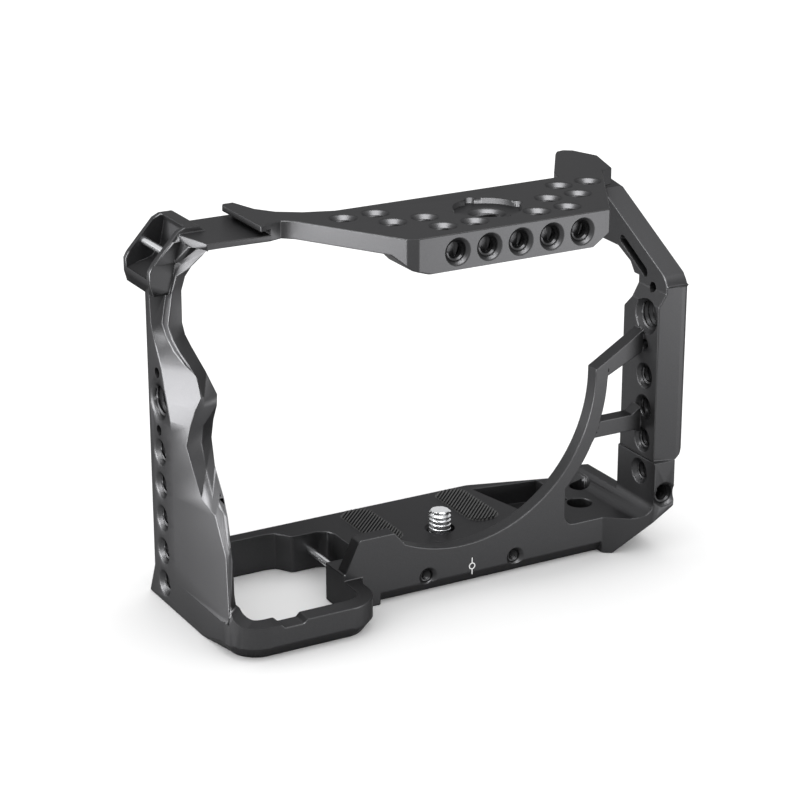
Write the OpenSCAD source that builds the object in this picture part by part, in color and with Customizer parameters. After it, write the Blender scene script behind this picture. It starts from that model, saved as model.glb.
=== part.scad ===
// Camera cage: a machined aluminium frame round a mirrorless camera body, with a
// battery loop, a lens arch, strap pins, rubber pads and a captive camera screw.
// Frame: +X to the cage's right seen from the front, -Y to the front, +Z up.
// The origin lies under the middle of the cage, on the surface it stands on.

/* [Overall] */
// Overall width, strap lug to right wall
frame_w = 144; // [138:1:150]
// Overall depth, battery loop to strap lug
frame_d = 64; // [61:1:68]
// Overall height, floor to top plate
frame_h = 106; // [101:1:112]

/* [Base] */
// Height of the base slab
base_h = 11; // [10:0.5:13]
// Setback of the base's front face behind the battery loop's front
base_set = 16; // [14:0.5:18]
// Setback of the base's rear face in front of the strap lug's back
rear_set = 8; // [7:0.5:9]
// Thickness of the rear bar behind the battery opening
rear_bar_t = 4.3; // [3.5:0.1:5]
// Thickness of the rear bar where it holds the lower strap pin
pin_bar_t = 9.5; // [8.5:0.5:10.5]
// Depth of the bevel along the bottom front edge
base_bevel = 2.6; // [1:0.2:3.5]
// Height of that bevel
bevel_rise = 3.5; // [1.5:0.1:4]
// Radius of the inside corner between base and right wall
foot_fillet_r = 5; // [4:0.5:6]
// Height of the right foot
foot_top_z = 28; // [25:0.5:31]
// Height of the low curb behind the foot
curb_top_z = 14.5; // [13:0.5:15.5]
// Thickness of the low curb
curb_t = 3; // [2:0.5:4]

/* [Battery loop] */
// Height of the loop
loop_h = 9.3; // [8:0.1:10]
// Thickness of the loop's bar
loop_t = 5.4; // [4.5:0.1:6]
// Outer corner radius of the loop
loop_r = 10; // [8:0.5:11]
// Distance from the leg's outer face to the loop's right side
loop_w = 43.4; // [42:0.2:45]
// Width of the block at the loop's right end
nose_w = 11.4; // [10:0.2:13]
// Distance from the loop's right side to the inside of the block
nose_in = 4.2; // [3.5:0.1:5]
// Width of the finger notch in the loop's top
notch_w = 7.6; // [6:0.2:9]
// Depth of the finger notch
notch_deep = 1.1; // [0.6:0.1:1.6]
// Depth of the loop's block, front to back
nose_d = 10.6; // [9:0.1:12]

/* [Left leg] */
// Distance from the widest point to the leg's outer face
leg_inset = 0.8; // [0.4:0.1:1.2]
// Thickness of the leg
leg_t = 5.6; // [4.5:0.1:7]
// Setback of the leg's back in front of the base's rear face
leg_set = 3.8; // [3:0.1:4.6]
// Distance from the leg's back to its row of holes
leg_hole_set = 6.4; // [6:0.1:7]
// Width of the leg at its widest, beside the grip
leg_w = 10.7; // [9.5:0.1:11.5]
// Thickness of the rib along the leg's inner front corner
leg_rib = 2.8; // [2:0.1:3.4]
// Radius of the fillet between the leg's front and the loop's top
leg_fillet_r = 7.5; // [6:0.5:8.5]
// Height of the strap lug, from the cage's top down to its underside
lug_drop = 19; // [17:0.5:21]
// Width of the strap lug, out to where the strut starts
lug_w = 16.26; // [15.5:0.02:17]
// Depth of the strap lug, front wall to back wall
lug_d = 17.5; // [16:0.5:19]
// Thickness of the strap lug's walls
lug_wall = 2; // [1.5:0.1:2.5]

/* [Top] */
// Thickness of the top plate
plate_t = 5; // [4:0.2:6]
// Height of the plate's front block
block_h = 9.9; // [9:0.1:12]
// Depth of the plate's front block
block_d = 13; // [11:0.5:15]
// Depth of the top plate, front to back
plate_d = 34.4; // [32:0.2:36]
// Distance from the loop's front back to the plate's front face
plate_set = 2.9; // [1:0.1:5]
// Thickness of the strut between lug and wing
strut_t = 1.8; // [1.5:0.1:2.4]
// Depth of the strut
strut_d = 23.2; // [20:0.2:25]
// Thickness of the wing's lip
lip_t = 1.8; // [1.4:0.1:2.2]
// Overhang of the wing's lip
lip_w = 3.5; // [2.5:0.1:4.5]
// Width of the wing, lip to top plate
wing_w = 9.7; // [8.5:0.1:11]
// Width of the bevelled ends of the plate's front block
block_end_w = 5; // [4:0.2:6]
// Width of the blend from the plate's rear edge to the wing
blend_w = 14; // [10:0.5:16]
// Width of the bevels on large outer corners
edge = 1.3; // [1:0.1:1.6]

/* [Right wall] */
// Thickness of the right wall at its inner face
wall_t = 9; // [8:0.2:10]
// Depth of the right wall
wall_d = 18.7; // [17:0.2:20]
// Distance from the loop's front back to the wall's front face
wall_set = 7.3; // [6:0.1:9]
// Thickness of the raised outer rail
rail_t = 2.7; // [2:0.1:3]
// Thickness of the slanted arm
arm_t = 7; // [6:0.2:8]
// Distance from the cage's top down to the arm's root
arm_drop = 27; // [25:0.5:29]
// Width of the bevel on the wall's inner front edge
wall_edge = 1.8; // [1.2:0.1:2.4]
// Height of the cut at the wall's upper rear corner
wall_cut = 9.3; // [7:0.1:11]
// Width of the slot in the arm
slot_w = 2.4; // [2:0.1:3]

/* [Lens arch] */
// Inner radius of the arch
arch_r = 42.4; // [40:0.2:43]
// Width of the arch's ring
arch_ring_w = 4; // [3:0.1:5]
// Thickness of the arch, front to back
arch_t = 4.5; // [4:0.1:6]
// Height of the inside of the arch over the base's top
arch_lift = 1.1; // [0.5:0.1:2.5]
// Gap between the arch and the right wall
arch_gap = 11.4; // [10:0.2:13]
// Height of the arch's left end over the base's top
arch_end_h = 9.2; // [8:0.2:11]
// Rise of the link from the arch up to the wall
link_rise = 8.3; // [6:0.5:10]
// Height of the spoke between arch and wall
spoke_h = 4.8; // [4:0.2:6]

/* [Threads] */
// Radius of a 1/4 inch tapped hole
quarter_r = 2.65; // [2.5:0.05:2.8]
// Radius of a 3/8 inch tapped hole
large_r = 4.15; // [4:0.05:4.3]
// Radius of a locating pin hole
locate_r = 1.45; // [1.2:0.05:1.7]
// Radius of a small tapped hole in the base's front
small_r = 1.65; // [1.4:0.05:1.8]
// Extra radius of a countersink
sink = 1.3; // [0.8:0.1:1.5]
// Distance between neighbouring tapped holes
hole_pitch = 9.525; // [9.4:0.025:9.6]
// Distance from a 3/8 inch hole to its locating pin holes
locate_pitch = 8.1; // [7.8:0.1:8.4]
// Distance between the two small tapped holes
small_pitch = 28; // [24:1:30]
// Distance of the two small tapped holes' middle from the frame's middle
small_x = 8.2; // [5:0.2:10]
// Distance of the top plate's middle hole from the frame's middle
grid_x = 14.05; // [12:0.05:16]
// Depth of a blind tapped hole
blind_deep = 8; // [6:0.5:8]
// Depth of the tapped holes in the top plate's front
front_deep = 4.4; // [3:0.1:4.6]

/* [Camera screw] */
// Distance of the camera screw from the frame's middle
screw_x = 7; // [5:0.2:9]
// Depth of the groove for the clip, and of the bevel at the screw's tip
groove_deep = 0.56; // [0.4:0.02:0.7]
// Width of the slot in the screw's head
head_slot_w = 1.6; // [1.2:0.1:2]
// Radius of the camera screw's thread
screw_r = 3.175; // [3:0.025:3.3]
// Height of the screw's tip over the base
screw_out = 5.5; // [4:0.5:7]
// Radius of the screw's head
head_r = 7; // [6.5:0.1:7.5]
// How far the loose screw can rise
screw_rise = 1.4; // [1:0.1:1.5]
// Thickness of the web that traps the screw
web_t = 2.1; // [1.8:0.1:2.6]
// Depth of the recess for the retaining clip
clip_deep = 2.4; // [2.2:0.1:2.8]
// Thickness of the retaining clip
clip_t = 0.8; // [0.6:0.1:1]
// Radial running clearance of the screw
run_gap = 0.06; // [0.03:0.01:0.1]
// Clearance between loose pieces
loose_gap = 0.3; // [0.2:0.05:0.4]

/* [Pads and pins] */
// Width of a rubber pad
pad_w = 10; // [9:0.5:11]
// Length of a rubber pad
pad_l = 24.4; // [22:0.2:25]
// Corner radius of a rubber pad
pad_r = 4; // [3:0.5:4.4]
// Distance of the left pad's middle from the camera screw
pad_left = 16; // [15:0.5:18]
// Distance of the right pad's middle from the camera screw
pad_right = 15; // [14.5:0.5:18]
// Distance from the pads to the base's rear edge
pad_set = 1.3; // [1:0.1:2.5]
// Thickness of a rubber pad
pad_t = 1.6; // [1.2:0.1:2]
// Radius of a strap pin
pin_r = 1; // [0.8:0.05:1.1]
// Radius of the small set screw in the leg's back
set_r = 1.2; // [1:0.1:1.4]
// Depth of that set screw's hole
set_deep = 3; // [2:0.5:4]
// How far that set screw stands out
set_out = 0.8; // [0.4:0.1:1.2]

/* [Driver] */
// Length of the stored flat driver
driver_l = 40; // [36:1:44]
// Width of the stored flat driver
driver_w = 6; // [5:0.5:7]
// Distance of the stored driver's middle from the camera screw
driver_shift = 4; // [2:0.5:6]
// Thickness of the stored flat driver
driver_t = 2.4; // [2:0.1:3]
// Radius of a holding magnet
magnet_r = 2.5; // [2:0.1:2.8]
// Thickness of a holding magnet
magnet_t = 1.5; // [1:0.1:2]

/* [Hidden] */
$fn = 96;
over = 1;

alloy = "#454546";
steel = "#c9c9cb";
rubber = "#19191a";
black_steel = "#2a2a2b";

// Planes that the members share
left_x = -frame_w / 2;
right_x = frame_w / 2;
front_y = -frame_d / 2;
back_y = frame_d / 2;
base_front = front_y + base_set;
base_rear = back_y - rear_set;
leg_out_x = left_x + leg_inset;
leg_in_x = leg_out_x + leg_t;
leg_back = base_rear - leg_set;
loop_right_x = leg_out_x + loop_w;
nose_left_x = loop_right_x - nose_in;
nose_right_x = nose_left_x + nose_w;
lug_front = back_y - lug_d;
lug_z = frame_h - lug_drop;
plate_bottom = frame_h - plate_t;
plate_front = front_y + plate_set;
plate_back = plate_front + plate_d;
strut_top = plate_bottom + strut_t;
wall_in_x = right_x - wall_t;
wall_front = front_y + wall_set;
wall_back = wall_front + wall_d;
rail_in_x = right_x - rail_t;
arm_in_x = right_x - arm_t;
arm_z = frame_h - arm_drop;
arch_back = base_front + arch_t;
arch_out_r = arch_r + arch_ring_w;
arch_x = wall_in_x - arch_gap - arch_out_r;
arch_z = base_h + arch_lift + arch_r;

// Turns shares of the overall sizes into places
function xy(shares) = [for (s = shares) [s[0] * frame_w, s[1] * frame_d]];

// Points of an arc about (cx, cy), from angle a0 to angle a1
function arc(cx, cy, r, a0, a1, steps) =
    [for (i = [0 : steps]) let (a = a0 + (a1 - a0) * i / steps) [cx + r * cos(a), cy + r * sin(a)]];

// An outline in X and Z, made solid from y0 back to y1
module along_y(y0, y1) translate([0, y1, 0]) rotate([90, 0, 0]) linear_extrude(y1 - y0) children();
// An outline in Y and Z, made solid from x0 to x1
module along_x(x0, x1) translate([x0, 0, 0]) rotate([90, 0, 90]) linear_extrude(x1 - x0) children();
// An outline in X and Y, made solid from z0 to z1
module along_z(z0, z1) translate([0, 0, z0]) linear_extrude(z1 - z0) children();

// A rectangle with round corners, from (x0, y0) to (x1, y1)
module round_rect(x0, y0, x1, y1, r) {
    translate([x0 + r, y0]) square([x1 - x0 - 2 * r, y1 - y0]);
    translate([x0, y0 + r]) square([x1 - x0, y1 - y0 - 2 * r]);
    for (x = [x0 + r, x1 - r], y = [y0 + r, y1 - r]) translate([x, y]) circle(r);
}

// A tapped hole of radius r that opens upwards at z = 0, with its countersink
module tapped_hole(r, deep) {
    translate([0, 0, -deep]) cylinder(r = r, h = deep + over);
    translate([0, 0, -sink]) cylinder(r1 = r, r2 = r + sink, h = sink);
    cylinder(r = r + sink, h = over);
}

// Columns of the top plate's hole grid, counted from its middle hole
grid_y = (plate_front + plate_back) / 2;
top_grid = [
    [-4, 1], [-3, 1], [-3, 0], [-2, 0], [-2, -1], [-1, -1],
    [1, -1], [2, -1], [2, 0], [3, 0], [3, 1], [4, 1]
];
front_grid = [-2, -1, 0, 1, 2];

// Side wall holes: a 3/8 inch hole with its locating holes, and a row of 1/4 inch holes below it,
// down to the last one that has its countersink above low_z
left_large_z_share = 0.55;
left_large_z = frame_h * left_large_z_share;
left_first_z = left_large_z - 1.5 * hole_pitch;
leg_hole_y = leg_back - leg_hole_set;
wall_hole_y_share = 0.42;
wall_hole_y = wall_front + wall_d * wall_hole_y_share;
locate_skin = 0.15;
right_large_set = locate_pitch + locate_r + locate_skin;
right_large_z = arm_z - right_large_set;
right_first_z = right_large_z - 2 * locate_pitch - quarter_r / 2;

function hole_row(first_z, low_z) = [
    for (i = [0 : floor((first_z - low_z - quarter_r - sink) / hole_pitch)]) first_z - i * hole_pitch
];

// Base slab: where its outline turns, as shares of the overall sizes
rear_turn_x_share = 0.208;
rear_end_x_share = 0.458;
rear_end_y_share = 0.206;
facet_x_share = 0.355;
foot_lip = 0.6;
foot_x = rail_in_x;
foot_in_x = wall_in_x - foot_lip;

// Lower strap pin, and the bump of the rear bar that holds it: places along the bar as shares of
// the block's width, and depths as shares of what the bar gains there
lower_pin_x = (nose_left_x + nose_right_x) / 2 - pin_r / 2;
pin_z_share = 0.56;
pin_z = base_h * pin_z_share;
pin_seat = 3;
bump_shares = [
    [-0.984, 0], [-0.719, 0.083], [-0.592, 0.5], [-0.479, 0.927], [-0.365, 1], [0.204, 1],
    [0.456, 1.219]
];
bump_end_share = 1.731;

// Camera screw's seat, from the base's top down
web_z = base_h - clip_deep;
web_bottom = web_z - web_t;
head_top = web_bottom - screw_rise - loose_gap / 2;

// Pads, pocket, holes and the driver's recess in the base
pad_y = base_rear - pad_l / 2 - pad_set;
pad_left_x = screw_x - pad_left;
pad_right_x = screw_x + pad_right;
pocket_deep_share = 0.6;
pocket_shares = [[0.207, 0.32], [0.235, 0.0], [0.347, 0.0], [0.347, 0.266]];
front_hole_z_share = 0.45;
front_hole_z = base_h * front_hole_z_share;
round_hole_x_share = 0.357;
round_hole_y_share = -0.056;
round_hole_r = 3.6;
second_hole_x_share = 0.406;
second_hole_y_share = 0.11;
second_hole_r = 3;
tripod_left_x = screw_x - 2 * hole_pitch;
tripod_right_x = screw_x + 2 * hole_pitch;
tripod_y = base_front + blind_deep + large_r;
driver_x = screw_x + driver_shift;
driver_y = base_rear - driver_w;
driver_slot_t = driver_t + loose_gap;

module base_outline() {
    polygon(concat(
        [[nose_right_x, base_front], [frame_w * facet_x_share, base_front]],
        [[foot_in_x, wall_front], [foot_x, wall_front], [foot_x, frame_d * rear_end_y_share]],
        [[frame_w * rear_end_x_share, frame_d * rear_end_y_share]],
        [[frame_w * rear_turn_x_share, base_rear], [leg_in_x, base_rear]],
        [[leg_in_x, base_rear - rear_bar_t]],
        [for (s = bump_shares) [lower_pin_x + nose_w * s[0], bump_y(s[1])]],
        [[nose_right_x, bump_y(bump_end_share)]]
    ));
}

function bump_y(share) = base_rear - rear_bar_t - (pin_bar_t - rear_bar_t) * share;

// Wedge that bevels the bottom front edge of the base and the loop
module front_bevel(y, x0, x1) {
    slope = base_bevel / bevel_rise;
    along_x(x0, x1) polygon([
        [y - over, -over], [y + base_bevel + over * slope, -over], [y - over, bevel_rise + over / slope]
    ]);
}

// Bevels the bottom edge of a round corner of radius r at (x, y), on its front side
module corner_bevel(x, y, r, side) {
    slope = base_bevel / bevel_rise;
    difference() {
        translate([side < 0 ? x - r - over : x, y - r - over, -over])
            cube([r + over, r + over, bevel_rise + over]);
        translate([x, y, -2 * over])
            cylinder(r1 = r - base_bevel - 2 * over * slope, r2 = r, h = bevel_rise + 2 * over);
    }
}

// Plane that cuts away the underside of the right foot's front corner
corner_z_share = 1.29;
corner_tilt = 47.6;
corner_turn = -49.6;

module corner_cut() {
    translate([foot_x, wall_front, base_h * corner_z_share]) rotate([0, corner_tilt, corner_turn])
        translate([0, -frame_w / 2, -frame_w / 2]) cube(frame_w);
}

module pad_place(x) {
    round_rect(x - pad_w / 2, pad_y - pad_l / 2, x + pad_w / 2, pad_y + pad_l / 2, pad_r);
}

module base_plate() {
    color(alloy) difference() {
        along_z(0, base_h) base_outline();
        front_bevel(base_front, loop_right_x, frame_w * facet_x_share);
        corner_cut();
        translate([screw_x, 0, web_z]) cylinder(r = screw_r + clip_t + loose_gap, h = base_h);
        translate([screw_x, 0, -over]) cylinder(r = screw_r + run_gap, h = base_h);
        translate([screw_x, 0, -over]) cylinder(r = head_r + loose_gap, h = web_bottom + over);
        for (x = [pad_left_x, pad_right_x]) along_z(base_h - pad_t, base_h + over) pad_place(x);
        along_z(base_h * (1 - pocket_deep_share), base_h + over) polygon(xy(pocket_shares));
        for (side = [-1, 1]) translate([small_x + side * small_pitch / 2, base_front, front_hole_z])
            rotate([90, 0, 0]) tapped_hole(small_r, blind_deep);
        translate([frame_w * round_hole_x_share, frame_d * round_hole_y_share, -over])
            cylinder(r = round_hole_r, h = base_h + 2 * over);
        second_hole();
        translate([lower_pin_x, base_rear - pin_bar_t - over, pin_z]) rotate([-90, 0, 0])
            cylinder(r = pin_r, h = pin_seat + over);
        translate([tripod_left_x, tripod_y, 0]) rotate([180, 0, 0]) tapped_hole(quarter_r, blind_deep);
        translate([tripod_right_x, tripod_y, 0]) rotate([180, 0, 0]) tapped_hole(large_r, blind_deep);
        translate([driver_x - driver_l / 2 - loose_gap, driver_y - driver_w / 2 - loose_gap, -over])
            cube([driver_l + 2 * loose_gap, driver_w + 2 * loose_gap, driver_slot_t + over]);
        for (side = [-1, 1]) translate([driver_x + side * driver_l / 4, driver_y, 0])
            cylinder(r = magnet_r, h = driver_slot_t + magnet_t);
    }
}

// Round hole through the base and the curb, behind the right foot
module second_hole() {
    translate([frame_w * second_hole_x_share, frame_d * second_hole_y_share, -over])
        cylinder(r = second_hole_r, h = foot_top_z + over);
}

// Battery loop: the inside of its block, its notch and where it meets the leg
nose_back = base_front + nose_d;
lower_pin_gap = base_rear - pin_bar_t - nose_back;
fillet_r = 1.6;
leg_foot_front = front_y + loop_r;
notch_x_share = 0.38;
notch_x = leg_out_x + loop_w * notch_x_share;

module loop_outline() {
    inner_r = loop_r - loop_t;
    polygon(concat(
        [[leg_out_x, leg_foot_front]],
        arc(leg_out_x + loop_r, front_y + loop_r, loop_r, 180, 270, 12),
        arc(loop_right_x - loop_r, front_y + loop_r, loop_r, 270, 360, 12),
        [[loop_right_x, base_front - fillet_r], [loop_right_x + fillet_r, base_front]],
        [[nose_right_x, base_front], [nose_right_x, nose_back], [nose_left_x, nose_back]],
        arc(nose_left_x - inner_r, front_y + loop_t + inner_r, inner_r, 360, 270, 8),
        arc(leg_out_x + loop_t + inner_r, front_y + loop_t + inner_r, inner_r, 270, 180, 8),
        [[leg_out_x + loop_t, leg_foot_front]]
    ));
}

module battery_loop() {
    color(alloy) difference() {
        union() {
            along_z(0, loop_h) loop_outline();
            along_z(loop_h / 2, base_h) polygon([
                [nose_left_x, base_front], [nose_right_x, base_front],
                [nose_right_x, nose_back], [nose_left_x, nose_back]
            ]);
        }
        front_bevel(front_y, leg_out_x + loop_r, loop_right_x - loop_r);
        corner_bevel(leg_out_x + loop_r, front_y + loop_r, loop_r, -1);
        corner_bevel(loop_right_x - loop_r, front_y + loop_r, loop_r, 1);
        along_y(front_y - over, front_y + loop_t + over) translate([notch_x, loop_h]) polygon([
            [-notch_w / 2, 0], [-notch_w / 2 + notch_deep, -notch_deep],
            [notch_w / 2 - notch_deep, -notch_deep], [notch_w / 2, 0], [notch_w / 2, over],
            [-notch_w / 2, over]
        ]);
        translate([lower_pin_x, nose_back - pin_seat, pin_z]) rotate([-90, 0, 0])
            cylinder(r = pin_r, h = pin_seat + over);
    }
}

// Right foot and its tapped hole in front
foot_hole_x = (foot_in_x + foot_x + foot_lip) / 2;
foot_hole_z_share = 0.17;
foot_hole_z = frame_h * foot_hole_z_share;

module right_foot() {
    fillet_x = foot_in_x - foot_fillet_r;
    color(alloy) difference() {
        intersection() {
            along_z(base_h, foot_top_z) base_outline();
            along_y(wall_front, back_y) polygon(concat(
                arc(fillet_x, base_h + foot_fillet_r, foot_fillet_r, -90, 0, 12),
                [[foot_in_x, foot_top_z], [foot_x, foot_top_z], [foot_x, base_h]]
            ));
        }
        corner_cut();
        translate([fillet_x - over, wall_back, curb_top_z]) cube([frame_w, frame_d, foot_top_z]);
        translate([foot_in_x + curb_t, wall_back, base_h - over]) cube([frame_w, frame_d, foot_top_z]);
        translate([foot_hole_x, wall_front, foot_hole_z]) rotate([90, 0, 0])
            tapped_hole(quarter_r, blind_deep);
        wall_holes(foot_in_x, wall_t + foot_lip);
        second_hole();
    }
}

// Slices of the leg. Each has its height, the place along the depth where the hole face ends, and
// the corners of its front: the outer facet's front edge, the step beside it and the inner corner.
// Widths are shares of the leg's width, counted from its outer face. From the foot up to the bend,
// heights are shares of the bend's height and depths are shares of the way from the leg's back to
// the loop's front
leg_lower_shares = [
    [0.1176, 0.2852, 0.033, 0.8749, 0.154, 0.8664, 0.457, 0.8087],
    [0.1905, 0.2852, 0.174, 0.8369, 0.262, 0.8314, 0.457, 0.7756],
    [0.3166, 0.2852, 0.309, 0.7511, 0.396, 0.7548, 0.477, 0.7572],
    [0.4306, 0.2852, 0.383, 0.604, 0.497, 0.6261, 0.598, 0.6653],
    [0.4802, 0.2852, 0.282, 0.4851, 0.524, 0.5206, 0.692, 0.5844],
    [0.5567, 0.2852, 0.215, 0.4287, 0.551, 0.4348, 0.82, 0.4287],
    [0.6332, 0.2852, 0.161, 0.3808, 0.571, 0.3808, 0.975, 0.3281],
    [0.6962, 0.2644, 0.248, 0.3943, 0.591, 0.3992, 1.002, 0.3428],
    [0.7593, 0.23, 0.396, 0.4017, 0.612, 0.4054, 1.002, 0.3907],
    [0.7968, 0.2067, 0.531, 0.4041, 0.618, 0.398, 1.009, 0.3943],
    [0.8605, 0.1785, 0.531, 0.3453, 0.538, 0.3625, 0.935, 0.2932],
    [0.8894, 0.1552, 0.423, 0.268, 0.45, 0.3103, 0.881, 0.2472],
    [0.9242, 0.1246, 0.309, 0.1957, 0.356, 0.2435, 0.813, 0.1969],
    [0.9618, 0.0903, 0.282, 0.1185, 0.302, 0.1761, 0.746, 0.1491]
];
// From the bend up, heights are shares of the strap lug's height, from the top down, and depths
// are shares of the lug's depth
leg_upper_shares = [
    [1.4226, 0.2, 0.282, 0.218, 0.316, 0.39, 0.713, 0.39],
    [0.9484, 0.167, 0.43, 0.218, 0.45, 0.39, 0.719, 0.39],
    [0.7364, 0.211, 0.524, 0.247, 0.564, 0.401, 0.78, 0.459],
    [0.5579, 0.35, 0.605, 0.35, 0.672, 0.441, 0.82, 0.639]
];
// The last slice, just under the strut
leg_end_shares = [0.263, 0.386, 0.787, 0.35, 0.867, 0.423, 1.015, 0.971];
leg_bend_z = frame_h - lug_drop * leg_upper_shares[0][0];
leg_foot_flare_share = 0.82;
leg_foot_z = leg_bend_z * leg_lower_shares[0][0];
leg_fillet_set = 2.1;
leg_fillet_turn = 45;
leg_lean_share = 0.276;
leg_turn = 0.6;
foot_bevel_back = leg_foot_front + 12;
brace_out_share = 0.591;
crest_share = 0.497;
strut_left_x = left_x + lug_w;
set_x = leg_t / 2;
set_z_share = 0.72;
set_z = frame_h * set_z_share;

// The eight corners of one slice of the leg, counter-clockwise from the outer back corner
function leg_slice(z, s, run) = let (
    front = leg_back - run * s[7],
    rib_x = leg_out_x + leg_w * s[6],
    inner_x = max(leg_in_x, rib_x - leg_rib)
) [
    [leg_out_x, leg_back, z], [leg_out_x, leg_back - run * s[1], z],
    [leg_out_x + leg_w * s[2], leg_back - run * s[3], z],
    [leg_out_x + leg_w * s[4], leg_back - run * s[5], z],
    [rib_x, front, z], [rib_x, front + leg_rib, z], [inner_x, front + 2 * leg_rib, z],
    [inner_x, leg_back, z]
];

// A solid through a row of slices that all have as many corners
module loft(slices) {
    n = len(slices[0]);
    last = len(slices) - 1;
    polyhedron(
        points = [for (slice = slices) each slice],
        faces = concat(
            [[for (i = [0 : n - 1]) i], [for (i = [n - 1 : -1 : 0]) last * n + i]],
            [for (k = [0 : last - 1], i = [0 : n - 1]) let (a = k * n + i, b = k * n + (i + 1) % n)
                each [[a, a + n, b + n], [a, b + n, b]]]
        )
    );
}

// Fillet that carries the leg's front down into the loop's top, flush with the leg's outer face
module leg_fillet() {
    top = loop_h + leg_fillet_r;
    intersection() {
        difference() {
            along_z(loop_h, top) loop_outline();
            translate([leg_out_x, leg_foot_front, top - locate_skin])
                rotate([0, 0, -leg_fillet_turn]) translate([leg_fillet_set + leg_fillet_r, 0, 0]) {
                    rotate([90, 0, 0]) cylinder(r = leg_fillet_r, h = 2 * loop_w, center = true);
                    translate([0, -frame_w, -2 * leg_fillet_r])
                        cube([frame_w, 2 * frame_w, 2 * 2 * leg_fillet_r]);
                }
        }
        loft([for (z = [0, 2 * top]) let (x = leg_out_x + leg_lean_share * (z - leg_foot_z)) [
            [x, leg_back, z], [x + leg_turn, front_y - over, z], [x + loop_w, front_y - over, z],
            [x + loop_w, leg_back, z]
        ]]);
    }
}

// Wedge that runs the loop's bottom bevel out along the leg's foot
module foot_bevel() {
    polyhedron(
        points = [
            [leg_out_x, foot_bevel_back, 0], [leg_out_x + base_bevel, leg_foot_front, 0],
            [leg_out_x, leg_foot_front, bevel_rise],
            [leg_out_x - over, leg_foot_front - over, -over]
        ],
        faces = [[0, 1, 2], [1, 0, 3], [2, 1, 3], [0, 2, 3]]
    );
}

module left_leg() {
    slices = concat(
        [for (s = leg_lower_shares) leg_slice(leg_bend_z * s[0], s, leg_back - front_y)],
        [for (s = leg_upper_shares) leg_slice(frame_h - lug_drop * s[0], s, lug_d)],
        [leg_slice(plate_bottom, leg_end_shares, lug_d)]
    );
    color(alloy) difference() {
        union() {
            intersection() {
                loft(slices);
                leg_front();
            }
            leg_fillet();
            along_z(0, slices[0][0][2]) polygon([
                [leg_out_x, leg_foot_front], [leg_out_x + loop_t, leg_foot_front],
                [leg_in_x, leg_back], [leg_out_x, leg_back]
            ]);
            along_x(leg_out_x, leg_in_x) polygon([
                [leg_back, base_h * leg_foot_flare_share], [base_rear, 0], [leg_back - leg_t, 0]
            ]);
        }
        foot_bevel();
        translate([left_x, lug_front, lug_z]) cube(frame_w);
        translate([leg_out_x, leg_hole_y, left_large_z]) rotate([0, -90, 0])
            tapped_hole(large_r, 2 * leg_t);
        for (side = [-1, 1]) translate([leg_out_x - over, leg_hole_y, left_large_z + side * locate_pitch])
            rotate([0, 90, 0]) cylinder(r = locate_r, h = 2 * leg_t);
        for (z = hole_row(left_first_z, 0)) translate([leg_out_x, leg_hole_y, z])
            rotate([0, -90, 0]) tapped_hole(quarter_r, 2 * leg_t);
        translate([leg_out_x + set_x, leg_back - set_deep, set_z]) rotate([-90, 0, 0])
            cylinder(r = set_r, h = set_deep + over);
    }
}

// The strap lug's slanted outer side, also over the leg's top
module leg_front() {
    along_y(front_y, back_y) polygon([
        [leg_out_x, 0], [strut_left_x, 0], [strut_left_x, strut_top],
        [left_x + lug_w * crest_share, strut_top], [leg_out_x, frame_h - lug_drop * brace_out_share]
    ]);
}

// Strap lug, seen from the front: its outline, its brace and its pocket, as shares of its width
// and, from the top down, of its height
lug_shares = [[0, 0.842], [0, 0.658], [0.058, 0.569], [0.522, 0.134], [0.646, 0.084], [0.89, 0.084]];
brace_top_share = 0.841;
brace_shares = [[0.738, 0.513], [0.58, 0.714], [0.394, 0.809]];
lug_pocket_shares = [
    [-0.531, 0.77], [0.044, 0.77], [0.474, 0.664], [0.624, 0.508], [0.704, 0.173], [0.531, -0.223]
];
upper_pin_x_share = 0.332;
upper_pin_x = left_x + lug_w * upper_pin_x_share;
upper_pin_z_share = 0.43;
upper_pin_z = frame_h - lug_drop * upper_pin_z_share;

function lug_points(shares) = [for (s = shares) [left_x + lug_w * s[0], frame_h - lug_drop * s[1]]];

module strap_bracket() {
    color(alloy) difference() {
        along_y(lug_front, back_y) polygon(concat(
            [[leg_in_x, lug_z], [leg_out_x, lug_z]],
            lug_points(lug_shares),
            [[strut_left_x, strut_top], [strut_left_x, plate_bottom]],
            [[left_x + lug_w * brace_top_share, plate_bottom]],
            lug_points(brace_shares)
        ));
        along_y(lug_front + lug_wall, back_y - lug_wall) polygon(lug_points(lug_pocket_shares));
        translate([upper_pin_x, lug_front + lug_wall / 2, upper_pin_z]) rotate([-90, 0, 0])
            cylinder(r = pin_r, h = lug_d - lug_wall);
    }
}

// Strut from the lug to the wing
strut_back_share = 0.64;
strut_back = lug_front + lug_d * strut_back_share;
strut_front = strut_back - strut_d;
strut_corner_shares = [0.531, 0.689];
wing_left_x_share = -0.321;
wing_left_x = frame_w * wing_left_x_share;
wing_right_x = wing_left_x + wing_w;
step_x = wing_left_x + lip_w;

module left_strut() {
    color(alloy) along_z(plate_bottom, strut_top) polygon([
        [left_x + lug_w * strut_corner_shares[0], lug_front],
        [left_x + lug_w * strut_corner_shares[1], strut_front + leg_inset],
        [step_x, strut_front], [step_x, strut_back], [strut_left_x, strut_back],
        [strut_left_x, lug_front]
    ]);
}

// Wing, seen from above: shares of its width and of the strut's depth
wing_root_shares = [-0.0517, 0.4116];
wing_root_front = strut_front + strut_d * wing_root_shares[0];
wing_root_back = strut_front + strut_d * wing_root_shares[1];
wing_shares = [
    [0.722, 0.045], [0.206, -0.019], [0, -0.056], [0, 0.944], [0.103, 1], [0.397, 1], [0.631, 0.63]
];

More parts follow.
